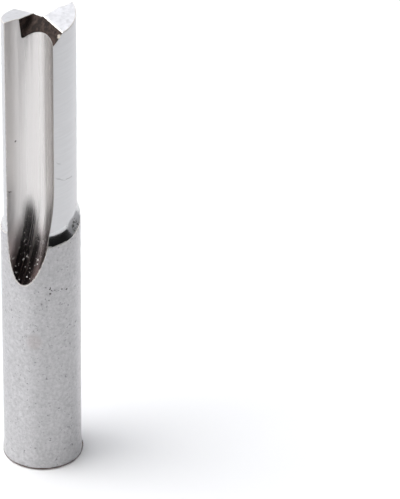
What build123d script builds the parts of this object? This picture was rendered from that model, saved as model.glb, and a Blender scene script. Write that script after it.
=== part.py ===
"""Two-flute straight router bit, ground from one bar of high-speed steel.

The bit stands on the end of its shank, with its cutting end up. The origin is the centre of
the shank's end face, and +Z runs up the bit's axis. The two cutting edges lie in the XZ plane,
at +X and -X. Seen from the cutting end the bit turns counter-clockwise, so the edge at +X
moves towards +Y, its flute lies ahead of it and its land trails behind it.

Each cut is modelled as the space that its grinding wheel sweeps through the bar.
Lengths are in millimetres and angles in degrees.
"""

import os
from math import cos, radians, sin, sqrt, tan

from build123d import *

# Bar
overall_length = 51.0
shank_diameter = 8.0
end_chamfer = 0.15

# Cutting end
cutter_diameter = 8.0
cutting_length = 20.0  # length of flute at full depth

# Flutes, ground by a wheel with a round rim
web_thickness = 2.5  # what is left between the two flutes
flute_radius = 2.5
flute_rake_angle = 12.0  # hook of the cutting face, from the cutting edge's radius
flute_wheel_radius = 14.2

# Lands, backed off behind each cutting edge
land_extra_radius = 0.3  # the land's arc is this much flatter than the cutter's own circle
land_relief_angle = 13.0
land_overrun = 3.6  # from the full depth of flute down to the land's shoulder, on the axis
land_shoulder_slope = 10.0
land_shoulder_radius = 1.7

# Cutting end face, one plane for each tooth
end_relief_angle = 13.0
end_dish_angle = 2.4

# Gashes, which open each flute towards the axis at the end
gash_depth = 0.38  # below the corners, measured on the axis
gash_slope = 47.0
gash_angle = 17.0  # from the cutting edge's radius
gash_wall_offset = 0.58  # from the axis to the foot of the side wall
gash_wall_draft = 5.0
gash_corner_radius = 0.25

# What the dimensions above give
shank_radius = shank_diameter / 2
cutter_radius = cutter_diameter / 2
land_radius = cutter_radius + land_extra_radius
flute_end_height = overall_length - cutting_length
land_shoulder_height = flute_end_height - land_overrun
head_bottom_height = land_shoulder_height - shank_radius * tan(radians(land_shoulder_slope))

# Reach of a cut past the bar, wherever it leaves the work
clear_of_bar = 2 * max(shank_diameter, cutter_diameter)


def bar():
    """The turned blank: a shank, and a head of the cutting diameter on top of it.

    The seam of its round faces lies on +Y, clear of the cutting edges.
    """
    from_below = (Align.CENTER, Align.CENTER, Align.MIN)
    shank = Cylinder(shank_radius, head_bottom_height, align=from_below)
    shank = chamfer(shank.edges().sort_by(Axis.Z)[0], end_chamfer)
    head = Cylinder(cutter_radius, overall_length - head_bottom_height, align=from_below)
    return Rot(Z=90) * (shank + Pos(Z=head_bottom_height) * head)


def flute():
    """The channel ahead of the cutting edge at +X, with the wheel's run-out at its foot.

    The channel's section is the wheel's rim: a half round and two straight flanks. One flank
    is the cutting face, so it passes through the cutting edge at the rake angle. The half
    round comes as near to the axis as the web allows.
    """
    rake = radians(flute_rake_angle)
    rim_offset = flute_radius - cutter_radius * sin(rake)
    rim_distance = sqrt((web_thickness / 2 + flute_radius) ** 2 - rim_offset**2)
    flank_length = flute_wheel_radius - flute_radius

    half_round = Circle(flute_radius)
    flanks = Rectangle(flank_length, 2 * flute_radius, align=(Align.MIN, Align.CENTER))
    channel = extrude(half_round + flanks, cutting_length + clear_of_bar)
    rim = Pos(X=-flank_length) * half_round
    flat_of_wheel = Rectangle(flank_length, 2 * flute_radius, align=(Align.MAX, Align.CENTER))
    wheel = revolve(rim + flat_of_wheel, Axis.Y)

    cut = channel + Pos(X=flank_length) * wheel
    return Pos(Z=flute_end_height) * Rot(Z=flute_rake_angle) * Pos(rim_distance, rim_offset) * cut


def land_relief():
    """What is ground off behind the cutting edge at +X, down to a hollow shoulder.

    The land is an arc about an axis beside the bit's own. It passes through the cutting edge
    and falls away behind it at the relief angle. The shoulder slopes down towards the heel.
    """
    relief = radians(land_relief_angle)
    arc_axis = Pos(cutter_radius - land_radius * cos(relief), land_radius * sin(relief))
    above_shoulder = Rot(X=land_shoulder_slope) * Box(
        2 * clear_of_bar,
        2 * clear_of_bar,
        2 * clear_of_bar,
        align=(Align.CENTER, Align.CENTER, Align.MIN),
    )
    land = arc_axis * Cylinder(land_radius, 4 * clear_of_bar)
    ground_off = above_shoulder - land
    foot = ground_off.edges().filter_by(GeomType.ELLIPSE).sort_by(Axis.Z)[0]
    ground_off = fillet(foot, land_shoulder_radius)
    behind_edge = Box(
        2 * clear_of_bar,
        clear_of_bar,
        4 * clear_of_bar,
        align=(Align.CENTER, Align.MAX, Align.CENTER),
    )
    return Pos(Z=land_shoulder_height) * (ground_off & behind_edge)


def end_relief():
    """What is ground off the end of the tooth at +X, which is highest at its outer corner."""
    relief = tan(radians(end_relief_angle))
    dish = tan(radians(end_dish_angle))
    corner = (cutter_radius, 0, overall_length)
    end_face = Plane(origin=corner, x_dir=(1, 0, dish), z_dir=(-dish, -relief, 1))
    above_face = end_face * Box(
        2 * clear_of_bar,
        2 * clear_of_bar,
        clear_of_bar,
        align=(Align.CENTER, Align.CENTER, Align.MIN),
    )
    own_half = Pos(Z=overall_length) * Box(
        clear_of_bar,
        2 * clear_of_bar,
        2 * clear_of_bar,
        align=(Align.MIN, Align.CENTER, Align.CENTER),
    )
    return above_face & own_half


def gash():
    """The notch that carries the end cutting edge of the tooth at +X in to the centre.

    Its floor drops outwards from the axis into the flute. Its side wall is the face of the
    end cutting edge, and its far side takes the heel off the opposite tooth.
    """
    slope = radians(gash_slope)
    angle = radians(gash_angle)
    section_plane = Plane(
        origin=(0, 0, overall_length - gash_depth),
        x_dir=(-sin(angle), cos(angle), 0),
        z_dir=(cos(angle) * cos(slope), sin(angle) * cos(slope), -sin(slope)),
    )
    height = clear_of_bar
    wall_foot = (-gash_wall_offset, 0)
    wall_top = (-gash_wall_offset - height * tan(radians(gash_wall_draft)), height)
    section = make_face(
        Polyline(wall_foot, (clear_of_bar, 0), (clear_of_bar, height), wall_top, close=True)
    )
    foot = section.vertices().sort_by_distance(wall_foot)[0]
    section = fillet(foot, gash_corner_radius)
    return extrude(section_plane * section, clear_of_bar, both=True)


def router_bit():
    """The finished bit: the bar, less every cut, each made at both teeth."""
    bit = bar()
    for cut in (flute(), land_relief(), end_relief(), gash()):
        for tooth in range(2):
            bit -= Rot(Z=180 * tooth) * cut
    return bit


os.makedirs("parts", exist_ok=True)
export_step(router_bit(), "parts/router_bit.step")
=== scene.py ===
"""Two-flute straight router bit, dressed over its CAD frame.

The bit is turned and ground here the way a cutter grinder makes it: a plain bar, then one wheel
pass after another, each made at both teeth. Every pass leaves its own finish on the steel.
Lengths are in metres, in the frame of the CAD model: the bit stands on the end of its shank, +Z
runs up its axis, and its two cutting edges lie at +X and -X.
"""

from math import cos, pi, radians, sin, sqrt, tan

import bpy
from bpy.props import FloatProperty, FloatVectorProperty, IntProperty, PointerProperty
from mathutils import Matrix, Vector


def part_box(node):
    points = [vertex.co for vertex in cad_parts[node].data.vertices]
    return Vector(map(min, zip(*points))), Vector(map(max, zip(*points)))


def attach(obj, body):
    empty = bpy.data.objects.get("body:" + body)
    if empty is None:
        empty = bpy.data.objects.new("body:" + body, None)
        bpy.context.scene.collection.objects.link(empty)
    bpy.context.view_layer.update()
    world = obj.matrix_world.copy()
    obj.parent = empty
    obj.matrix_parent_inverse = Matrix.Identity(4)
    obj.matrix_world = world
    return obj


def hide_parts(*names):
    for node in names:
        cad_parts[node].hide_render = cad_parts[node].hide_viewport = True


bl_info = {
    "name": "Router bit",
    "version": (1, 0, 0),
    "blender": (4, 5, 0),
    "location": "View3D > Sidebar > Router bit",
    "description": "Models a ground two-flute router bit and a plain stage for it",
    "category": "Object",
}

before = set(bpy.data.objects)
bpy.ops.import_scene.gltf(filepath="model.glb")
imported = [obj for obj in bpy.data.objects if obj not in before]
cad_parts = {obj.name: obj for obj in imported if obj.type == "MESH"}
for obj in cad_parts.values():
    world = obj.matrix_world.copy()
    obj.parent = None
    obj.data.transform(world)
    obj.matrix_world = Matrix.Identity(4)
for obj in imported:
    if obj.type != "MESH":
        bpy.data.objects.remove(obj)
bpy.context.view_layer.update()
CAD_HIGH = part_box("router_bit")[1]

MM = 0.001

CLEAR = 8 * MM  # how far a cutter reaches past the bar
DOUBLE = 0.0001 * MM  # points nearer than this are one point
NEAR = 0.001 * MM  # a point this near to a plane lies on it

CHAMFER_RISE = 0.8  # height of the foot's chamfer, as a share of its width
# The foot's rings: millimetres up from the ring below, and share of the flare
FOOT_RINGS = ((0.30, 1.0), (0.35, 0.75), (0.40, 0.25), (0.35, 0.0))
PLAIN_BAR = 18.0 * MM  # bar with no rings, up to where the flutes run out
RUN_OUT_RINGS = 12
RUN_OUT_STEP = 1.0 * MM
BURR_LOW = 0.3 * MM
BURR_HIGH = 0.9 * MM
BURR_TURN = radians(-35)  # where the burr stands out of the foot
BURR_SPREAD = radians(2.6)  # how far it runs to each side

WHEEL_ARC = radians(60)  # as much of the flute wheel's arc as it takes to clear the bar
WHEEL_FACETS = 60
LAND_FACETS = 256
HOLLOW_FACETS = 18
GASH_FACETS = 6
EDGE_FACETS = 2

SHARP = radians(20)  # a ground edge turns by more than this
SMOOTH = radians(18)  # a face shades into one that turns by less than this
TOP_BAND = 1.0 * MM  # how far down slivers lie, where the end faces, gashes and flutes meet
SLIVER = 0.02 * MM

VIEW_TURN = radians(34.2)  # from the viewer's right-hand side to the +X cutting edge
FLOOR_RADIUS = 2.6
FLOOR_FACETS = 96
FLOOR_RIM = ((2.8, 0.02), (2.95, 0.10), (3.0, 0.23))  # radius, height above the ring before
PAPER_FRONT = 0.094  # from the bit to the front edge of the paper
PAPER_SIDE = 0.190  # from the bit to each side edge of it
TABLE_RIM = 0.5  # height of the rim round the table
ROOM_COLOUR = "#F2F3F6"

CAMERA_RISE = radians(34.7)  # the camera's place, above the level of the bit's foot
CAMERA_DISTANCE = 0.36857  # from the middle of the bit's foot
LOOK_DOWN = radians(31.490)  # where it points, below level
LOOK_RIGHT = radians(3.02)  # where it points, to the right of the bit's axis
CAMERA_ROLL = radians(0.98)
SENSOR = 36  # width in millimetres
FOCAL_PIXELS = 3538.8  # focal length, in pixels of a render PIXELS_TALL high
PIXELS_TALL = 499


def srgb(code):
    """The linear colour of an sRGB hex code, with full alpha."""
    parts = [int(code[i : i + 2], 16) / 255 for i in (1, 3, 5)]
    linear = [c / 12.92 if c <= 0.04045 else ((c + 0.055) / 1.055) ** 2.4 for c in parts]
    return (*linear, 1.0)


def length(name, description, default):
    """A size that a user can change, in metres."""
    return FloatProperty(
        name=name,
        description=description,
        default=default,
        subtype="DISTANCE",
        unit="LENGTH",
        precision=5,
    )


def angle(name, description, default):
    """An angle that a user can change. Its default is given in degrees."""
    return FloatProperty(
        name=name,
        description=description,
        default=radians(default),
        subtype="ANGLE",
        unit="ROTATION",
    )


def colour(name, description, code):
    """A colour that a user can change. Its default is given as an sRGB hex code."""
    return FloatVectorProperty(
        name=name,
        description=description,
        default=srgb(code),
        size=4,
        min=0,
        max=1,
        subtype="COLOR",
    )


class RouterBitSizes(bpy.types.PropertyGroup):
    """The sizes that the bit is ground to."""

    overall_length: length(
        "Overall length", "From the shank's end to the corners of the teeth", CAD_HIGH.z
    )
    shank_diameter: length(
        "Shank diameter", "Diameter of the bar, and of the cutting circle", 8 * MM
    )
    cutting_length: length("Cutting length", "Length of flute at full depth", 17.6 * MM)
    foot_chamfer: length("Foot chamfer", "Bevel on the end of the shank", 0.15 * MM)
    foot_flare: length("Foot flare", "How far the foot of the shank is swelled", 0.11 * MM)
    foot_burr: length("Foot burr", "How far a burr stands out of the foot", 0.08 * MM)
    web: length("Web", "Steel left between the two flutes", 2.5 * MM)
    flute_radius: length("Flute radius", "Radius of the flute's half-round bottom", 2.5 * MM)
    rake: angle("Rake", "Hook of the cutting face", 12)
    flute_wheel: length("Flute wheel", "Radius of the wheel that grinds the flute", 23.5 * MM)
    land_extra: length(
        "Land extra radius", "How much flatter the land is than the cutting circle", 0.3 * MM
    )
    land_relief: angle("Land relief", "Fall of the land behind its cutting edge", 11.3)
    shoulder_height: length(
        "Shoulder height", "Height of the +X land's shoulder on the axis", 27.4 * MM
    )
    shoulder_slope: angle("Shoulder slope", "Slope of the +X shoulder", 16.5)
    shoulder_turn: angle(
        "Shoulder turn", "From the heel's side to the +X shoulder's fall", 38.5
    )
    other_height: length("Other height", "Height of the -X land's shoulder on the axis", 26.1 * MM)
    other_slope: angle("Other slope", "Slope of the -X shoulder", -14)
    other_turn: angle("Other turn", "From the heel's side to the -X shoulder's fall", 0)
    shoulder_radius: length("Shoulder radius", "Hollow at the foot of the land", 1.6 * MM)
    end_relief: angle("End relief", "Fall of the end face behind its edge", 13)
    end_dish: angle("End dish", "Fall of the end edge towards the axis", 2.4)
    gash_depth: length(
        "Gash depth", "Depth of the gash on the axis, below the corners", 0.38 * MM
    )
    gash_slope: angle("Gash slope", "Fall of the gash's floor into the flute", 47)
    gash_turn: angle("Gash turn", "Direction of the gash from its cutting edge's radius", 17)
    gash_offset: length(
        "Gash offset", "From the axis to the foot of the gash's wall", 0.58 * MM
    )
    gash_draft: angle("Gash draft", "Lean of the gash's wall", 5)
    gash_corner: length("Gash corner", "Radius at the foot of the gash's wall", 0.25 * MM)
    edge_break: length("Edge break", "Width of the bevel on the ground edges", 0.02 * MM)
    rim_break: length(
        "Rim break", "Width of the bevel where the flutes and shoulders meet the shank", 0.09 * MM
    )
    bar_segments: IntProperty(
        name="Bar segments", description="Facets round the bar", default=192, min=32
    )
    flute_segments: IntProperty(
        name="Flute segments",
        description="Facets round a full circle of the flute",
        default=192,
        min=32,
    )


class RouterBitFinish(bpy.types.PropertyGroup):
    """The colours of the steel under each finish."""

    shank: colour("Shank", "Blasted bar steel", "#C5C4C5")
    flute: colour("Flute", "Polished steel", "#D7D4D2")
    land: colour("Land", "Satin-ground steel", "#CBCBCC")
    end: colour("End face", "Coarse-ground steel", "#DADADD")
    # The gash's dark brown is partly oxide and partly painted shade.
    gash: colour("Gash", "Scorched steel", "#3A2E29")
    edge: colour("Edge", "Stoned edges", "#F4F0EC")


# ---------------------------------------------------------------- modelling by hand


def deselect_all():
    """Back to object mode, with nothing selected."""
    if bpy.context.object and bpy.context.object.mode != "OBJECT":
        bpy.ops.object.mode_set(mode="OBJECT")
    bpy.ops.object.select_all(action="DESELECT")


def activate(piece):
    """Selects one piece alone and makes it the active one."""
    deselect_all()
    piece.select_set(True)
    bpy.context.view_layer.objects.active = piece
    return piece


def newest(name):
    """The object that an operator has just added, renamed."""
    piece = bpy.context.active_object
    piece.name = name
    piece.data.name = name
    return piece


def edit(piece):
    """Into edit mode, with the whole mesh selected."""
    activate(piece)
    bpy.ops.object.mode_set(mode="EDIT")
    bpy.ops.mesh.select_all(action="SELECT")


def object_mode():
    """Out of edit mode, which puts what was done into the mesh."""
    bpy.ops.object.mode_set(mode="OBJECT")


def select_where(piece, kind, chosen):
    """Into edit mode, with only the vertices, edges or polygons that chosen() accepts.

    chosen() is given a vertex's place, an edge's two ends, or a polygon's centre and normal.
    """
    activate(piece)
    mesh = piece.data
    for item in (*mesh.vertices, *mesh.edges, *mesh.polygons):
        item.select = False
    for item in getattr(mesh, kind):
        if kind == "vertices":
            item.select = chosen(item.co)
        elif kind == "edges":
            item.select = chosen(*(mesh.vertices[i].co for i in item.vertices))
        else:
            item.select = chosen(item.center, item.normal)
    if not any(item.select for item in getattr(mesh, kind)):
        raise RuntimeError(f"{piece.name}: none of its {kind} is where it should be")
    bpy.ops.object.mode_set(mode="EDIT")
    bpy.ops.mesh.select_mode(type={"vertices": "VERT", "edges": "EDGE", "polygons": "FACE"}[kind])


def put(piece, matrix):
    """Moves a piece by a matrix and leaves its place in its mesh."""
    activate(piece)
    piece.matrix_world = matrix @ piece.matrix_world
    bpy.ops.object.transform_apply(location=True, rotation=True, scale=True)


def close_up(piece):
    """Merges doubles and turns every face outwards."""
    edit(piece)
    bpy.ops.mesh.remove_doubles(threshold=DOUBLE)
    bpy.ops.mesh.normals_make_consistent(inside=False)
    object_mode()


def apply_modifier(piece, kind, **settings):
    """Adds a modifier with its settings and applies it."""
    activate(piece)
    bpy.ops.object.modifier_add(type=kind)
    modifier = piece.modifiers[-1]
    for name, value in settings.items():
        setattr(modifier, name, value)
    bpy.ops.object.modifier_apply(modifier=modifier.name)


def copy_turned(cutter):
    """A copy of a cutter for the opposite tooth, half a turn round the axis."""
    activate(cutter)
    bpy.ops.object.duplicate()
    other = newest(cutter.name + "_opposite")
    put(other, Matrix.Rotation(pi, 4, "Z"))
    return other


def grind(work, cutter, *finishes):
    """Takes a cutter's shape off the work, and leaves the cutter's finishes on the new faces."""
    for finish in finishes:
        cutter.data.materials.append(finish)
    apply_modifier(
        work,
        "BOOLEAN",
        operation="DIFFERENCE",
        solver="EXACT",
        material_mode="TRANSFER",
        object=cutter,
    )
    bpy.data.objects.remove(cutter)
    if not work.data.polygons:
        raise RuntimeError(f"nothing is left of {work.name}")


def grind_both(work, cutter, finish):
    """Grinds one tooth with a cutter, and then the tooth opposite with a copy of it."""
    other = copy_turned(cutter)
    grind(work, cutter, finish)
    grind(work, other, finish)


# ---------------------------------------------------------------- the bit's shapes


def make_bar(sizes):
    """The bar, drawn up ring by ring from the shank's end, with a foot that is swelled a little
    and a burr on it. Rings stand close together where the flutes run out, so that the faces
    round the flutes' thin tips are short and shade evenly."""
    radius = sizes.shank_diameter / 2
    flare = sizes.foot_flare
    chamfer = sizes.foot_chamfer
    rings = (
        (chamfer * CHAMFER_RISE, radius + flare),
        *((step * MM, radius + flare * share) for step, share in FOOT_RINGS),
        (PLAIN_BAR, radius),
        *((RUN_OUT_STEP, radius) for ring in range(RUN_OUT_RINGS)),
    )
    deselect_all()
    bpy.ops.mesh.primitive_circle_add(
        vertices=sizes.bar_segments, radius=radius + flare - chamfer, fill_type="NGON"
    )
    bar = newest("router_bit_ground")
    edit(bar)
    height = 0
    here = radius + flare - chamfer
    for step, there in rings:
        bpy.ops.mesh.extrude_region_move(TRANSFORM_OT_translate={"value": (0, 0, step)})
        bpy.ops.transform.resize(value=(there / here, there / here, 1))
        height += step
        here = there
    bpy.ops.mesh.extrude_region_move(
        TRANSFORM_OT_translate={"value": (0, 0, sizes.overall_length - height)}
    )
    object_mode()
    burr = Vector((cos(BURR_TURN), sin(BURR_TURN)))
    select_where(
        bar,
        "vertices",
        lambda at: BURR_LOW < at.z < BURR_HIGH
        and at.xy.length > 0
        and at.xy.normalized().dot(burr) > cos(BURR_SPREAD),
    )
    bpy.ops.transform.translate(value=(*(burr * sizes.foot_burr), 0))
    object_mode()
    close_up(bar)
    return bar


def make_flute_cutter(sizes):
    """The space that the flute wheel sweeps: a long channel, and the wheel's own arc at its
    foot."""
    radius = sizes.flute_radius
    offset = radius - sizes.shank_diameter / 2 * sin(sizes.rake)
    distance = sqrt((sizes.web / 2 + radius) ** 2 - offset**2)
    height = sizes.overall_length - sizes.cutting_length
    deselect_all()
    bpy.ops.mesh.primitive_circle_add(
        vertices=sizes.flute_segments,
        radius=radius,
        fill_type="NGON",
        location=(distance, offset, height),
    )
    cutter = newest("flute_cutter")
    select_where(cutter, "vertices", lambda at: at.x > NEAR)
    bpy.ops.transform.translate(value=(CLEAR, 0, 0))
    bpy.ops.mesh.select_all(action="SELECT")
    bpy.ops.mesh.extrude_region_move(
        TRANSFORM_OT_translate={"value": (0, 0, sizes.cutting_length + CLEAR)}
    )
    select_where(cutter, "polygons", lambda at, normal: at.z < NEAR and abs(normal.z) > 0.9)
    bpy.ops.mesh.spin(
        steps=WHEEL_FACETS,
        angle=WHEEL_ARC,
        center=(distance + sizes.flute_wheel - radius, offset, height),
        axis=(0, 1, 0),
    )
    object_mode()
    close_up(cutter)
    put(cutter, Matrix.Rotation(sizes.rake, 4, "Z"))
    return cutter


def make_land_cutter(sizes, height, slope, turn, land_finish, shoulder_finish):
    """What is ground off behind an edge: all that lies outside the land and above the shoulder.
    The shoulder falls at a slope, and the fall is turned from the heel's side."""
    radius = sizes.shank_diameter / 2
    relief = sizes.land_relief
    land_radius = radius + sizes.land_extra
    axis_at = Vector((radius - land_radius * cos(relief), land_radius * sin(relief), 0))
    tilt = Matrix.Rotation(-turn, 4, "Z") @ Matrix.Rotation(slope, 4, "X")
    normal = tilt @ Vector((0, 0, 1))
    reach = 60 * MM  # more than the bit is long
    deselect_all()
    bpy.ops.mesh.primitive_cube_add(size=reach, location=(0, 0, reach / 2))
    cutter = newest("land_cutter")
    put(cutter, Matrix.Translation((0, 0, height)) @ tilt)
    edit(cutter)
    bpy.ops.mesh.bisect(plane_co=(0, 0, 0), plane_no=(0, 1, 0), clear_outer=True, use_fill=True)
    object_mode()
    deselect_all()
    bpy.ops.mesh.primitive_cylinder_add(
        vertices=LAND_FACETS,
        radius=land_radius,
        depth=4 * reach,
        location=axis_at,
        rotation=(0, 0, -relief),
    )
    land = newest("land_arc")
    put(land, Matrix.Identity(4))
    cutter.data.materials.append(land_finish)
    cutter.data.materials.append(shoulder_finish)
    grind(cutter, land, land_finish)

    def on_foot(*ends):
        """Whether an edge lies both on the land and on the shoulder."""
        return all(
            abs((end.xy - axis_at.xy).length - land_radius) < 5 * NEAR
            and abs(normal.dot(end) - normal.z * height) < 5 * NEAR
            for end in ends
        )

    select_where(cutter, "edges", on_foot)
    bpy.ops.mesh.bevel(
        offset=sizes.shoulder_radius,
        segments=HOLLOW_FACETS,
        affect="EDGES",
        clamp_overlap=False,
        material=1,
    )
    object_mode()
    return cutter


def make_end_cutter(sizes):
    """The half space above one tooth's end face."""
    dish = tan(sizes.end_dish)
    relief = tan(sizes.end_relief)
    along = Vector((1, 0, dish)).normalized()
    up = Vector((-dish, -relief, 1)).normalized()
    axes = Matrix((along, up.cross(along), up)).transposed().to_4x4()
    deselect_all()
    bpy.ops.mesh.primitive_cube_add(size=4 * CLEAR, location=(0, 0, 2 * CLEAR))
    cutter = newest("end_cutter")
    put(cutter, Matrix.Translation((sizes.shank_diameter / 2, 0, sizes.overall_length)) @ axes)
    edit(cutter)
    bpy.ops.mesh.bisect(plane_co=(0, 0, 0), plane_no=(1, 0, 0), clear_inner=True, use_fill=True)
    object_mode()
    return cutter


def make_gash_cutter(sizes):
    """The notch that carries an end cutting edge in to the centre: a floor, a wall, and a small
    round between them."""
    turn = sizes.gash_turn
    slope = sizes.gash_slope
    across = Vector((-sin(turn), cos(turn), 0))
    along = Vector((cos(turn) * cos(slope), sin(turn) * cos(slope), -sin(slope)))
    axes = Matrix((across, along.cross(across), along)).transposed().to_4x4()
    wide = CLEAR + sizes.gash_offset
    deselect_all()
    bpy.ops.mesh.primitive_cube_add(
        size=1,
        location=(wide / 2 - sizes.gash_offset, CLEAR / 2, 0),
        scale=(wide, CLEAR, 4 * CLEAR),
    )
    cutter = newest("gash_cutter")
    put(cutter, Matrix.Identity(4))
    select_where(cutter, "vertices", lambda at: at.x < 0 and at.y > CLEAR / 2)
    bpy.ops.transform.translate(value=(-CLEAR * tan(sizes.gash_draft), 0, 0))
    object_mode()
    select_where(
        cutter,
        "edges",
        lambda a, b: max(a.x, b.x) < 0 and max(a.y, b.y) < NEAR and abs(a.z - b.z) > CLEAR,
    )
    bpy.ops.mesh.bevel(
        offset=sizes.gash_corner, segments=GASH_FACETS, affect="EDGES", clamp_overlap=False
    )
    object_mode()
    put(cutter, Matrix.Translation((0, 0, sizes.overall_length - sizes.gash_depth)) @ axes)
    return cutter


def break_edges(bit, sizes, bar_finish):
    """Bevels every ground edge a little, and the rims on the shank a little more. The slivers at
    the top are merged first, because a bevel would fold them."""
    select_where(bit, "vertices", lambda at: at.z > sizes.overall_length - TOP_BAND)
    bpy.ops.mesh.remove_doubles(threshold=SLIVER)
    object_mode()
    edit(bit)
    bpy.ops.mesh.select_mode(type="EDGE")
    bpy.ops.mesh.select_all(action="DESELECT")
    bpy.ops.mesh.edges_select_sharp(sharpness=SHARP)
    bpy.ops.transform.edge_bevelweight(value=sizes.edge_break / sizes.rim_break)
    object_mode()
    ground = {slot for slot, one in enumerate(bit.data.materials) if one is not bar_finish}
    rims = set()
    skin = set()
    for face in bit.data.polygons:
        (rims if face.material_index in ground else skin).update(face.edge_keys)
    rims &= skin
    activate(bit)
    for edge in bit.data.edges:
        edge.select = tuple(sorted(edge.vertices)) in rims
    bpy.ops.object.mode_set(mode="EDIT")
    bpy.ops.transform.edge_bevelweight(value=1)
    object_mode()
    apply_modifier(
        bit,
        "BEVEL",
        width=sizes.rim_break,
        segments=EDGE_FACETS,
        limit_method="WEIGHT",
        use_clamp_overlap=False,
        loop_slide=False,
        miter_outer="MITER_ARC",
        material=len(bit.data.materials) - 1,
    )


# ---------------------------------------------------------------- finishes


def add(tree, kind, inputs=(), **settings):
    """Adds a node: its settings, then its inputs by name or number. Each input is a value, an
    output, or a node, which stands for its first output in use."""
    node = tree.nodes.new(kind)
    for name, value in settings.items():
        setattr(node, name, value)
    for socket, value in dict(inputs).items():
        if isinstance(value, bpy.types.Node):
            value = next(one for one in value.outputs if one.enabled)
        if isinstance(value, bpy.types.NodeSocket):
            tree.links.new(value, node.inputs[socket])
        else:
            node.inputs[socket].default_value = value
    return node


def start_material(name):
    """A material with an empty node tree, the tree, and the object's coordinates in it."""
    material = bpy.data.materials.new(name)
    material.use_nodes = True
    tree = material.node_tree
    tree.nodes.clear()
    return material, tree, add(tree, "ShaderNodeTexCoord").outputs["Object"]


def end_material(tree, shader):
    """Joins the finished shader to the material's output."""
    add(tree, "ShaderNodeOutputMaterial", {"Surface": shader})


def per_metre(millimetres):
    """The scale of a pattern whose marks are that far apart."""
    return 1 / (millimetres * MM)


def toned(tree, colour, pattern, low, high, dark, pale):
    """A finish's colour, times dark where a pattern is at low and times pale where it is at
    high."""
    tone = add(
        tree,
        "ShaderNodeMapRange",
        {"Value": pattern, "From Min": low, "From Max": high, "To Min": dark, "To Max": pale},
    )
    return add(
        tree, "ShaderNodeVectorMath", {0: tuple(colour[:3]), "Scale": tone}, operation="SCALE"
    )


def laid_over(tree, colour, *layers):
    """A colour with others laid over it in turn: the share of each that shows, and its code."""
    for share, code in layers:
        colour = add(
            tree,
            "ShaderNodeMix",
            {"Factor": share, "A": colour, "B": srgb(code)},
            data_type="RGBA",
        )
    return colour


def scars(tree, place, marks, full=0.7, gone=1.2):
    """Where marks lie in the steel: 1 in a mark and 0 outside. Each mark is an ellipsoid with a
    ragged edge: its centre and half lengths in millimetres, and its turn in degrees. It is at
    its full depth within one share of those lengths, and gone beyond the other."""
    ragged = add(
        tree, "ShaderNodeTexNoise", {"Vector": place, "Scale": per_metre(0.25), "Detail": 2.0}
    ).outputs["Color"]
    centred = add(
        tree, "ShaderNodeVectorMath", {0: ragged, 1: (-0.5, -0.5, -0.5)}, operation="ADD"
    )
    shifted = add(
        tree,
        "ShaderNodeVectorMath",
        {0: centred, 1: (0.3 * MM, 0.3 * MM, 0.3 * MM), 2: place},
        operation="MULTIPLY_ADD",
    )
    found = None
    for centre, half, turn in marks:
        inside = add(
            tree,
            "ShaderNodeMapping",
            {
                "Vector": shifted,
                "Location": tuple(part * MM for part in centre),
                "Rotation": tuple(radians(part) for part in turn),
                "Scale": tuple(part * MM for part in half),
            },
            vector_type="TEXTURE",
        )
        far = add(tree, "ShaderNodeVectorMath", {0: inside}, operation="LENGTH")
        mark = add(
            tree,
            "ShaderNodeMapRange",
            {"Value": far, "From Min": full, "From Max": gone, "To Min": 1.0, "To Max": 0.0},
        )
        if found is not None:
            mark = add(tree, "ShaderNodeMath", {0: found, 1: mark}, operation="MAXIMUM")
        found = mark
    return found


def chips(tree, place):
    """The +X tooth's shoulder is chipped where it meets the shank, in small dark breaks."""
    region = scars(tree, place, (((2.1, -3.15, 27.75), (0.60, 0.8, 0.80), (0, 0, 0)),))
    breaks = add(
        tree, "ShaderNodeTexNoise", {"Vector": place, "Scale": per_metre(0.24), "Detail": 1.0}
    )
    broken = add(
        tree,
        "ShaderNodeMapRange",
        {"Value": breaks, "From Min": 0.50, "From Max": 0.55, "To Min": 0.0, "To Max": 0.9},
    )
    return add(tree, "ShaderNodeMath", {0: region, 1: broken}, operation="MULTIPLY")


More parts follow.
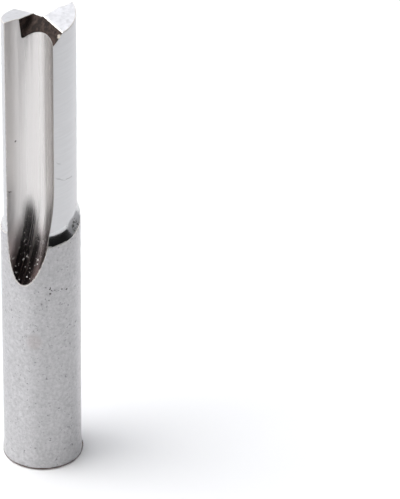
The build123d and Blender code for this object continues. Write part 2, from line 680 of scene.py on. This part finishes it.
def blasted_shank(finish):
    """Bar of high-speed steel, hardened and vapour blasted: an even pale grey, dull, with a fine
    grain and a scatter of small dark pits. One side, towards the front, is darkened as painted
    shade. The end of it has a brown line, partly a stain and partly painted contact shade, with
    painted shade on the burr, and higher up there are a faint brown finger mark and a few dents."""
    material, tree, place = start_material("blasted_bar_steel")
    mottle = add(
        tree, "ShaderNodeTexNoise", {"Vector": place, "Scale": per_metre(1.4), "Detail": 3.0}
    )
    # Blasting leaves a grain of about 0.05 mm. It is drawn coarser, so that it shows.
    grain = add(
        tree,
        "ShaderNodeTexNoise",
        {"Vector": place, "Scale": per_metre(0.32), "Detail": 4.0, "Roughness": 0.7},
    )
    pits = add(
        tree, "ShaderNodeTexNoise", {"Vector": place, "Scale": per_metre(0.34), "Detail": 3.0}
    )
    pit = add(
        tree,
        "ShaderNodeMapRange",
        {"Value": pits, "From Min": 0.30, "From Max": 0.36, "To Min": 0.6, "To Max": 0.0},
    )
    shade = add(
        tree,
        "ShaderNodeMapRange",
        {"Value": mottle, "From Min": 0.3, "From Max": 0.7, "To Min": 0.97, "To Max": 1.03},
    )
    speck = add(
        tree,
        "ShaderNodeMapRange",
        {"Value": grain, "From Min": 0.3, "From Max": 0.7, "To Min": 0.78, "To Max": 1.17},
    )
    # Painted shade: the side of the shank towards the front is darkened in its colour.
    shade_painted_towards = radians(-99)
    radius = 4 * MM
    side = add(
        tree,
        "ShaderNodeVectorMath",
        {0: place, 1: (cos(shade_painted_towards) / radius, sin(shade_painted_towards) / radius, 0)},
        operation="DOT_PRODUCT",
    )
    painted_side_shade = add(
        tree,
        "ShaderNodeMapRange",
        {"Value": side, "From Min": 0.62, "From Max": 0.95, "To Min": 1.0, "To Max": 0.82},
        interpolation_type="SMOOTHSTEP",
    )
    tone = add(tree, "ShaderNodeMath", {0: shade, 1: speck}, operation="MULTIPLY")
    tone = add(tree, "ShaderNodeMath", {0: tone, 1: painted_side_shade}, operation="MULTIPLY")
    steel = add(
        tree,
        "ShaderNodeVectorMath",
        {0: tuple(finish.shank[:3]), "Scale": tone},
        operation="SCALE",
    )
    height = add(tree, "ShaderNodeSeparateXYZ", {0: place}).outputs["Z"]
    ragged = add(
        tree, "ShaderNodeMath", {0: mottle, 1: 0.25 * MM, 2: height}, operation="MULTIPLY_ADD"
    )
    # A brown line round the foot: partly a stain, and partly painted contact shade where the foot
    # meets the floor.
    brown_line_and_painted_contact_shade = add(
        tree,
        "ShaderNodeMapRange",
        {
            "Value": ragged,
            "From Min": 0.34 * MM,
            "From Max": 0.46 * MM,
            "To Min": 1.0,
            "To Max": 0.0,
        },
    )
    # Painted shade on the burr, in a dark brown.
    painted_shade_on_burr = scars(
        tree,
        place,
        (
            ((3.25, -2.45, 0.60), (0.30, 0.36, 0.42), (0, 0, 0)),
            ((3.00, -2.75, 0.30), (0.45, 0.60, 0.30), (0, 0, 0)),
        ),
    )
    stain_and_painted_shade = add(tree, "ShaderNodeMath", {0: brown_line_and_painted_contact_shade, 1: painted_shade_on_burr}, operation="MAXIMUM")
    clean = add(tree, "ShaderNodeMath", {0: 1.0, 1: stain_and_painted_shade}, operation="SUBTRACT")
    dents = scars(
        tree,
        place,
        (
            ((-1.47, -3.72, 21.97), (0.08, 0.10, 0.20), (0, 14, 0)),
            ((-1.30, -3.78, 21.66), (0.16, 0.10, 0.07), (0, 25, 0)),
            ((-1.48, -3.72, 21.34), (0.08, 0.10, 0.12), (0, -20, 0)),
            ((-0.21, -3.99, 21.60), (0.12, 0.12, 0.11), (0, 0, 0)),
            ((0.34, -3.98, 21.33), (0.10, 0.10, 0.09), (0, 0, 0)),
        ),
    )
    dark = add(tree, "ShaderNodeMath", {0: dents, 1: chips(tree, place)}, operation="MAXIMUM")
    finger = scars(tree, place, (((-2.85, -2.80, 15.6), (0.8, 0.8, 0.9), (0, 0, 0)),))
    tinge = add(tree, "ShaderNodeMath", {0: finger, 1: 0.15}, operation="MULTIPLY")
    rough = add(
        tree,
        "ShaderNodeMapRange",
        {"Value": grain, "From Min": 0.3, "From Max": 0.7, "To Min": 0.34, "To Max": 0.46},
    )
    relief = add(
        tree, "ShaderNodeMath", {0: pit, 1: -1.5, 2: grain}, operation="MULTIPLY_ADD"
    )
    bump = add(
        tree, "ShaderNodeBump", {"Height": relief, "Strength": 0.35, "Distance": 0.012 * MM}
    )
    colour = laid_over(
        tree, steel, (pit, "#5E5E60"), (stain_and_painted_shade, "#4A342C"), (tinge, "#8E6A60"), (dark, "#4A4644")
    )
    shader = add(
        tree,
        "ShaderNodeBsdfPrincipled",
        {"Base Color": colour, "Metallic": clean, "Roughness": rough, "Normal": bump},
    )
    end_material(tree, shader)
    return material


def polished_flute(finish, sizes):
    """High-speed steel polished by a fine wheel: bright, with streaks that run the way the wheel
    ran, so that its glints are drawn out across them. Low in the flute, where the wheel ran out,
    there are pale flecks, a faint arc, and a reddish tint that is a painted reflection. The top of
    the run-out is darkened, partly by scorch and partly as a painted reflection of the dark room
    in front. The cutting face has two small nicks."""
    material, tree, place = start_material("polished_flute_steel")
    along_wheel = add(
        tree,
        "ShaderNodeMapping",
        {"Vector": place, "Rotation": (0, 0, sizes.rake), "Scale": (200.0, 1.0, 250.0)},
        vector_type="TEXTURE",
    )
    # Polishing streaks are a few hundredths of a millimetre wide. They are drawn coarser, so
    # that they show.
    streaks = add(
        tree,
        "ShaderNodeTexNoise",
        {"Vector": along_wheel, "Scale": per_metre(0.28), "Detail": 4.0, "Roughness": 0.7},
    )
    steel = toned(tree, finish.flute, streaks, 0.4, 0.6, 0.93, 1.06)
    height = add(tree, "ShaderNodeSeparateXYZ", {0: place}).outputs["Z"]
    # Painted reflection: below this height the flute is tinted reddish, as if it mirrored a
    # reddish room. The same band holds the pale flecks.
    low = add(
        tree,
        "ShaderNodeMapRange",
        {
            "Value": height,
            "From Min": 24.0 * MM,
            "From Max": 29.0 * MM,
            "To Min": 1.0,
            "To Max": 0.0,
        },
    )
    flecks = add(
        tree,
        "ShaderNodeTexNoise",
        {"Vector": place, "Scale": per_metre(0.32), "Detail": 3.0, "Roughness": 0.6},
    )
    fleck = add(
        tree,
        "ShaderNodeMapRange",
        {"Value": flecks, "From Min": 0.63, "From Max": 0.66, "To Min": 0.0, "To Max": 1.0},
    )
    fleck_low = add(tree, "ShaderNodeMath", {0: fleck, 1: low}, operation="MULTIPLY")
    nicks = scars(
        tree,
        place,
        (
            ((-2.78, 0.16, 37.46), (0.08, 0.10, 0.12), (0, 0, 0)),
            ((-3.58, 0.09, 32.02), (0.36, 0.20, 0.05), (0, 24, 0)),
        ),
    )
    arc = scars(
        tree,
        place,
        (
            ((-1.65, -0.57, 28.87), (0.66, 0.30, 0.05), (0, 0, -40)),
            ((-2.27, -0.31, 27.67), (0.14, 0.14, 0.14), (0, 0, 0)),
        ),
    )
    faint = add(tree, "ShaderNodeMath", {0: arc, 1: 0.25}, operation="MULTIPLY")
    # Painted reflection: the top of the run-out and the flute below it are darkened, partly as
    # scorch, where the steel would mirror the dark room in front.
    painted_reflection_at_top = scars(tree, place, (((-1.68, -0.50, 28.9), (0.55, 0.55, 1.75), (0, 0, 0)),), 0.3, 1.5)
    below = scars(tree, place, (((-3.10, -0.35, 26.1), (0.80, 0.80, 2.3), (0, 0, 0)),), 0.2, 1.6)
    painted_reflection_at_top = add(tree, "ShaderNodeMath", {0: painted_reflection_at_top, 1: 0.72}, operation="MULTIPLY")
    below = add(tree, "ShaderNodeMath", {0: below, 1: 0.45}, operation="MULTIPLY")
    scorch_and_painted_reflection = add(tree, "ShaderNodeMath", {0: painted_reflection_at_top, 1: below}, operation="MAXIMUM")
    pale = add(tree, "ShaderNodeMath", {0: fleck_low, 1: faint}, operation="MAXIMUM")
    bare = add(tree, "ShaderNodeMath", {0: pale, 1: -0.8, 2: 1.0}, operation="MULTIPLY_ADD")
    colour = laid_over(
        tree,
        steel,
        (low, "#A08B88"),
        (fleck_low, "#F0EDEA"),
        (scorch_and_painted_reflection, "#3A3432"),
        (arc, "#B4ACA8"),
        (nicks, "#5A5452"),
    )
    bump = add(
        tree, "ShaderNodeBump", {"Height": streaks, "Strength": 0.6, "Distance": 0.020 * MM}
    )

    facing = add(tree, "ShaderNodeNewGeometry").outputs["Normal"]
    wheel_axis = (-sin(sizes.rake), cos(sizes.rake), 0)
    sideways = add(
        tree, "ShaderNodeVectorMath", {0: facing, 1: wheel_axis}, operation="DOT_PRODUCT"
    )
    flank = add(tree, "ShaderNodeMath", {0: sideways}, operation="ABSOLUTE")
    rough = add(
        tree,
        "ShaderNodeMapRange",
        {"Value": streaks, "From Min": 0.4, "From Max": 0.6, "To Min": 0.14, "To Max": 0.30},
    )
    rough = add(
        tree, "ShaderNodeMath", {0: fleck_low, 1: 0.5, 2: rough}, operation="MULTIPLY_ADD"
    )
    duller = add(
        tree,
        "ShaderNodeMapRange",
        {"Value": flank, "From Min": 0.75, "From Max": 0.98, "To Min": 0.0, "To Max": 0.22},
    )
    rough = add(tree, "ShaderNodeMath", {0: rough, 1: duller}, operation="ADD")
    along = add(
        tree, "ShaderNodeVectorMath", {0: wheel_axis, 1: facing}, operation="CROSS_PRODUCT"
    )
    across = add(tree, "ShaderNodeVectorMath", {0: facing, 1: along}, operation="CROSS_PRODUCT")
    shader = add(
        tree,
        "ShaderNodeBsdfPrincipled",
        {
            "Base Color": colour,
            "Metallic": bare,
            "Roughness": rough,
            "Anisotropic": 0.65,
            "Normal": bump,
            "Tangent": across,
        },
    )
    end_material(tree, shader)
    return material


def satin_land(finish, name, finest, coarsest, wear):
    """High-speed steel ground across its length by a cup wheel: satin, with fine marks that run
    round the tooth, and a few dark scratches and chips. The wheel's corner leaves the shoulder
    smoother than its face leaves the land. Wear is 1 on the shoulder, which is rubbed dull and
    pale near the shank, and 0 on the land."""
    material, tree, place = start_material(name)
    round_tooth = add(tree, "ShaderNodeMapping", {"Vector": place, "Scale": (0.06, 0.06, 1.0)})
    # Grinding marks are about 0.02 mm apart. They are drawn coarser, so that they show.
    marks = add(
        tree,
        "ShaderNodeTexNoise",
        {"Vector": round_tooth, "Scale": per_metre(0.22), "Detail": 5.0, "Roughness": 0.6},
    )
    steel = toned(tree, finish.land, marks, 0.3, 0.7, 0.94, 1.04)
    rough = add(
        tree,
        "ShaderNodeMapRange",
        {"Value": marks, "From Min": 0.3, "From Max": 0.7, "To Min": finest, "To Max": coarsest},
    )
    bump = add(
        tree, "ShaderNodeBump", {"Height": marks, "Strength": 0.15, "Distance": 0.010 * MM}
    )
    scratches = scars(
        tree,
        place,
        (
            ((0.04, -3.44, 33.93), (0.66, 0.30, 0.045), (0, 29, 0)),
            ((1.15, -3.24, 33.56), (0.68, 0.40, 0.045), (0, 8, 0)),
            ((1.70, -3.01, 33.49), (0.09, 0.15, 0.10), (0, 0, 0)),
            ((-0.15, -3.45, 35.80), (0.34, 0.20, 0.030), (0, 35, 0)),
            ((2.61, -2.40, 39.36), (0.10, 0.10, 0.22), (0, 0, 0)),
            ((2.72, -2.30, 29.58), (0.12, 0.12, 0.12), (0, 0, 0)),
        ),
    )
    worn = scars(tree, place, (((2.35, -3.10, 28.3), (1.40, 1.1, 1.9), (0, 0, 0)),))
    dull = add(
        tree, "ShaderNodeMath", {0: worn, 1: 0.35 * wear, 2: rough}, operation="MULTIPLY_ADD"
    )
    bare = add(
        tree, "ShaderNodeMath", {0: worn, 1: -0.75 * wear, 2: 1.0}, operation="MULTIPLY_ADD"
    )
    half = add(tree, "ShaderNodeMath", {0: scratches, 1: 0.45}, operation="MULTIPLY")
    dark = add(tree, "ShaderNodeMath", {0: half, 1: chips(tree, place)}, operation="MAXIMUM")
    colour = laid_over(tree, steel, (dark, "#4A4644"))
    shader = add(
        tree,
        "ShaderNodeBsdfPrincipled",
        {"Base Color": colour, "Metallic": bare, "Roughness": dull, "Normal": bump},
    )
    end_material(tree, shader)
    return material


def coarse_end(finish):
    """High-speed steel ground dry by a coarse wheel: bright and rough, with an uneven sparkle."""
    material, tree, place = start_material("coarse_ground_steel")
    marks = add(
        tree,
        "ShaderNodeTexNoise",
        {"Vector": place, "Scale": per_metre(0.5), "Detail": 5.0, "Roughness": 0.7},
    )
    steel = toned(tree, finish.end, marks, 0.36, 0.60, 0.84, 1.0)
    rough = add(
        tree,
        "ShaderNodeMapRange",
        {"Value": marks, "From Min": 0.4, "From Max": 0.6, "To Min": 0.34, "To Max": 0.44},
    )
    bump = add(
        tree, "ShaderNodeBump", {"Height": marks, "Strength": 0.15, "Distance": 0.02 * MM}
    )
    shader = add(
        tree,
        "ShaderNodeBsdfPrincipled",
        {"Base Color": steel, "Metallic": 1.0, "Roughness": rough, "Normal": bump},
    )
    end_material(tree, shader)
    return material


def gash_scorched_and_painted_shade(finish, sizes):
    """Steel gashed by a coarse wheel: matt dark brown, which hides the metal, over torn marks that
    run down the gash. The dark brown is partly scorched oxide and partly painted shade. A pale
    chip shows on its rim."""
    material, tree, place = start_material("scorched_gash_steel")
    down_gash = add(
        tree,
        "ShaderNodeMapping",
        {"Vector": place, "Rotation": (0, 0, sizes.gash_turn), "Scale": (1.4, 1.0, 1.4)},
        vector_type="TEXTURE",
    )
    marks = add(
        tree,
        "ShaderNodeTexNoise",
        {"Vector": down_gash, "Scale": per_metre(0.45), "Detail": 4.0, "Roughness": 0.7},
    )
    # Painted shade: the gash's colour is darker than its steel would show, partly as oxide.
    gash_tone_with_painted_shade = toned(tree, finish.gash, marks, 0.44, 0.64, 0.5, 1.9)
    bump = add(
        tree, "ShaderNodeBump", {"Height": marks, "Strength": 0.8, "Distance": 0.10 * MM}
    )
    chip = scars(tree, place, (((0.10, -3.33, 49.72), (0.20, 0.25, 0.26), (0, 0, 0)),))
    shader = add(
        tree,
        "ShaderNodeBsdfPrincipled",
        {
            "Base Color": laid_over(tree, gash_tone_with_painted_shade, (chip, "#CFC6BA")),
            "Metallic": 0.0,
            "Roughness": 0.7,
            "Specular IOR Level": 0.3,
            "Normal": bump,
        },
    )
    end_material(tree, shader)
    return material


def broken_edge(finish):
    """Edges drawn over by hand with a stone: a thin bright line of bare, matt steel."""
    material, tree, place = start_material("stoned_edge_steel")
    nicks = add(
        tree,
        "ShaderNodeTexNoise",
        {"Vector": place, "Scale": per_metre(0.3), "Detail": 4.0, "Roughness": 0.7},
    )
    steel = toned(tree, finish.edge, nicks, 0.3, 0.7, 0.75, 1.05)
    shader = add(
        tree,
        "ShaderNodeBsdfPrincipled",
        {"Base Color": steel, "Metallic": 1.0, "Roughness": 0.55},
    )
    end_material(tree, shader)
    return material


# ---------------------------------------------------------------- operators


class ROUTERBIT_OT_grind_bit(bpy.types.Operator):
    """Turn the bar, grind both teeth and break the edges, each with its own finish"""

    bl_idname = "router_bit.grind_bit"
    bl_label = "Grind the router bit"
    bl_options = {"REGISTER", "UNDO"}

    def execute(self, context):
        sizes = context.scene.router_bit_sizes
        finish = context.scene.router_bit_finish
        shank = blasted_shank(finish)
        flute = polished_flute(finish, sizes)
        land = satin_land(finish, "satin_ground_steel", finest=0.28, coarsest=0.36, wear=0)
        shoulder = satin_land(
            finish, "satin_ground_shoulder_steel", finest=0.14, coarsest=0.20, wear=1
        )
        end = coarse_end(finish)
        gash = gash_scorched_and_painted_shade(finish, sizes)

        bit = make_bar(sizes)
        bit.data.materials.append(shank)
        grind_both(bit, make_flute_cutter(sizes), flute)
        cutter = make_land_cutter(
            sizes, sizes.shoulder_height, sizes.shoulder_slope, sizes.shoulder_turn, land, shoulder
        )
        grind(bit, cutter)
        cutter = make_land_cutter(
            sizes, sizes.other_height, sizes.other_slope, sizes.other_turn, land, shoulder
        )
        put(cutter, Matrix.Rotation(pi, 4, "Z"))
        grind(bit, cutter)
        grind_both(bit, make_end_cutter(sizes), end)
        grind_both(bit, make_gash_cutter(sizes), gash)
        close_up(bit)
        bit.data.materials.append(broken_edge(finish))
        break_edges(bit, sizes, shank)
        close_up(bit)
        activate(bit)
        bpy.ops.object.shade_smooth_by_angle(angle=SMOOTH)
        apply_modifier(bit, "WEIGHTED_NORMAL", mode="FACE_AREA", keep_sharp=True)
        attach(bit, "root")
        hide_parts("router_bit")
        return {"FINISHED"}


def on_rays(tree, *kinds):
    """1 on light paths of the given kinds, such as "Camera", and 0 on all others."""
    path = add(tree, "ShaderNodeLightPath")
    found = path.outputs[f"Is {kinds[0]} Ray"]
    for kind in kinds[1:]:
        found = add(
            tree,
            "ShaderNodeMath",
            {0: found, 1: path.outputs[f"Is {kind} Ray"]},
            operation="MAXIMUM",
        )
    return found


def white_floor():
    """Matt white paper. It shows white to the eye and in the steel, and keeps the bit's shadow.
    Near the bit it glows only a little, so that the lamp's light on it shows."""
    material, tree, place = start_material("matt_white_paper")
    far = add(tree, "ShaderNodeVectorMath", {0: place}, operation="LENGTH")
    fill = add(
        tree,
        "ShaderNodeMapRange",
        {"Value": far, "From Min": 0.3, "From Max": 1.2, "To Min": 0.10, "To Max": 1.0},
    )
    seen = on_rays(tree, "Camera", "Glossy", "Transmission")
    strength = add(tree, "ShaderNodeMath", {0: seen, 1: fill}, operation="MULTIPLY")
    paper = add(tree, "ShaderNodeBsdfDiffuse", {"Color": srgb("#F4F4F5")})
    glow = add(tree, "ShaderNodeEmission", {"Color": srgb("#FFFFFF"), "Strength": strength})
    end_material(tree, add(tree, "ShaderNodeAddShader", {0: paper, 1: glow}))
    return material


def seen_from_front(right, back, up):
    """A point given to the viewer's right, away from the viewer, and up."""
    return Matrix.Rotation(-VIEW_TURN, 4, "Z") @ Vector((right, back, up))


def softbox(name, at, width, tall, radiance):
    """A soft lamp that faces straight down, square to the viewer. Its brightness is given, so
    its power goes with its size."""
    deselect_all()
    bpy.ops.object.light_add(type="AREA", location=at)
    lamp = bpy.context.active_object
    lamp.name = name
    lamp.data.shape = "RECTANGLE"
    lamp.data.size = width
    lamp.data.size_y = tall
    lamp.data.energy = radiance * pi * width * tall
    lamp.rotation_euler = Matrix.Rotation(-VIEW_TURN, 4, "Z").to_euler()
    lamp.visible_camera = False


def make_floor():
    """A wide white disc with a low rim turned up round it, so that low views stay white too."""
    deselect_all()
    bpy.ops.mesh.primitive_circle_add(
        vertices=FLOOR_FACETS, radius=FLOOR_RADIUS, fill_type="NOTHING"
    )
    floor = newest("paper_floor")
    edit(floor)
    here = FLOOR_RADIUS
    for there, step in FLOOR_RIM:
        bpy.ops.mesh.extrude_edges_move(TRANSFORM_OT_translate={"value": (0, 0, step)})
        bpy.ops.transform.resize(value=(there / here, there / here, 1))
        here = there
    select_where(floor, "vertices", lambda at: at.z < MM)
    bpy.ops.mesh.edge_face_add()
    bpy.ops.mesh.select_all(action="SELECT")
    bpy.ops.mesh.normals_make_consistent(inside=True)
    object_mode()
    return floor


def make_table():
    """The dim table round the front and the sides of the paper, out to a rim. Only the steel
    shows it, and it casts no shadow: it gives the run-outs of the flutes their dark."""
    reach = FLOOR_RADIUS
    lift = 0.5 * MM  # the table lies just above the paper
    at_rim = 0.01  # an edge this near to the reach is at the rim
    corners = (
        ((-reach, -reach), (reach, -PAPER_FRONT)),
        ((-reach, -PAPER_FRONT), (-PAPER_SIDE, reach)),
        ((PAPER_SIDE, -PAPER_FRONT), (reach, reach)),
    )
    cards = []
    for low, high in corners:
        deselect_all()
        bpy.ops.mesh.primitive_plane_add(
            size=1, location=((low[0] + high[0]) / 2, (low[1] + high[1]) / 2, lift)
        )
        card = newest("dim_table")
        card.scale = (high[0] - low[0], high[1] - low[1], 1)
        put(card, Matrix.Identity(4))
        cards.append(card)
    table = activate(cards[0])
    for card in cards[1:]:
        card.select_set(True)
    bpy.ops.object.join()
    select_where(
        table,
        "edges",
        lambda a, b: max(a.y, b.y) < at_rim - reach or abs(a.x + b.x) > 2 * reach - at_rim,
    )
    bpy.ops.mesh.extrude_edges_move(TRANSFORM_OT_translate={"value": (0, 0, TABLE_RIM)})
    object_mode()
    put(table, Matrix.Rotation(-VIEW_TURN, 4, "Z"))
    top, tree, place = start_material("dim_table_top")
    level = room_level(tree, place)
    shader = add(tree, "ShaderNodeEmission", {"Color": srgb(ROOM_COLOUR), "Strength": level})
    end_material(tree, shader)
    table.data.materials.append(top)
    for ray in ("camera", "diffuse", "shadow", "transmission"):
        setattr(table, "visible_" + ray, False)
    return table


def room_level(tree, towards):
    """How bright the room is towards a point: nearly black in front, pale behind."""
    direction = add(tree, "ShaderNodeVectorMath", {0: towards}, operation="NORMALIZE")
    behind = add(
        tree,
        "ShaderNodeVectorMath",
        {0: direction, 1: seen_from_front(0, 1, 0)},
        operation="DOT_PRODUCT",
    )
    return add(
        tree,
        "ShaderNodeMapRange",
        {"Value": behind, "From Min": -0.35, "From Max": 0.85, "To Min": 0.012, "To Max": 1.15},
        interpolation_type="SMOOTHSTEP",
    )


def dim_studio():
    """A pale room behind the bit, which darkens round its sides to nearly black in front. It
    lights matt things only a little, with a cool light that tints the bit's shadow."""
    world = bpy.data.worlds.new("dim_studio")
    world.use_nodes = True
    tree = world.node_tree
    tree.nodes.clear()
    level = room_level(tree, add(tree, "ShaderNodeTexCoord").outputs["Generated"])
    seen = on_rays(tree, "Camera", "Glossy")
    share = add(tree, "ShaderNodeMapRange", {"Value": seen, "To Min": 0.1, "To Max": 1.0})
    strength = add(tree, "ShaderNodeMath", {0: level, 1: share}, operation="MULTIPLY")
    tone = laid_over(tree, srgb("#A8C2FA"), (seen, ROOM_COLOUR))
    sky = add(tree, "ShaderNodeBackground", {"Color": tone, "Strength": strength})
    add(tree, "ShaderNodeOutputWorld", {"Surface": sky})
    return world


class ROUTERBIT_OT_set_stage(bpy.types.Operator):
    """Lay a white floor in a dim room, and set a soft lamp and the camera"""

    bl_idname = "router_bit.set_stage"
    bl_label = "Set the stage"
    bl_options = {"REGISTER", "UNDO"}

    def execute(self, context):
        floor = make_floor()
        floor.data.materials.append(white_floor())
        make_table()

        softbox(
            "left_softbox",
            at=seen_from_front(-0.50, -0.015, 0.85),
            width=1.25,
            tall=0.74,
            radiance=5.2,
        )
        context.scene.world = dim_studio()
        context.scene.view_settings.view_transform = "Standard"

        deselect_all()
        bpy.ops.object.camera_add(
            location=seen_from_front(
                0, -CAMERA_DISTANCE * cos(CAMERA_RISE), CAMERA_DISTANCE * sin(CAMERA_RISE)
            )
        )
        camera = bpy.context.active_object
        camera.name = "front_camera"
        camera.rotation_euler = (
            Matrix.Rotation(-VIEW_TURN - LOOK_RIGHT, 4, "Z")
            @ Matrix.Rotation(pi / 2 - LOOK_DOWN, 4, "X")
            @ Matrix.Rotation(CAMERA_ROLL, 4, "Z")
        ).to_euler()
        camera.data.sensor_width = SENSOR
        camera.data.lens = FOCAL_PIXELS * SENSOR / PIXELS_TALL
        camera.data.clip_start = 0.01
        camera.data.clip_end = 20
        context.scene.camera = camera
        return {"FINISHED"}


class ROUTERBIT_PT_panel(bpy.types.Panel):
    """The router bit's operators, sizes and colours"""

    bl_label = "Router bit"
    bl_idname = "ROUTERBIT_PT_panel"
    bl_space_type = "VIEW_3D"
    bl_region_type = "UI"
    bl_category = "Router bit"

    def draw(self, context):
        for operator in (ROUTERBIT_OT_grind_bit, ROUTERBIT_OT_set_stage):
            self.layout.operator(operator.bl_idname)
        for group in (context.scene.router_bit_sizes, context.scene.router_bit_finish):
            box = self.layout.box()
            for name in group.__annotations__:
                box.prop(group, name)


CLASSES = (
    RouterBitSizes,
    RouterBitFinish,
    ROUTERBIT_OT_grind_bit,
    ROUTERBIT_OT_set_stage,
    ROUTERBIT_PT_panel,
)


def register():
    for one in CLASSES:
        bpy.utils.register_class(one)
    bpy.types.Scene.router_bit_sizes = PointerProperty(type=RouterBitSizes)
    bpy.types.Scene.router_bit_finish = PointerProperty(type=RouterBitFinish)


def unregister():
    del bpy.types.Scene.router_bit_finish
    del bpy.types.Scene.router_bit_sizes
    for one in reversed(CLASSES):
        bpy.utils.unregister_class(one)


def main():
    register()
    bpy.ops.router_bit.grind_bit()
    bpy.ops.router_bit.set_stage()


if __name__ == "__main__":
    main()
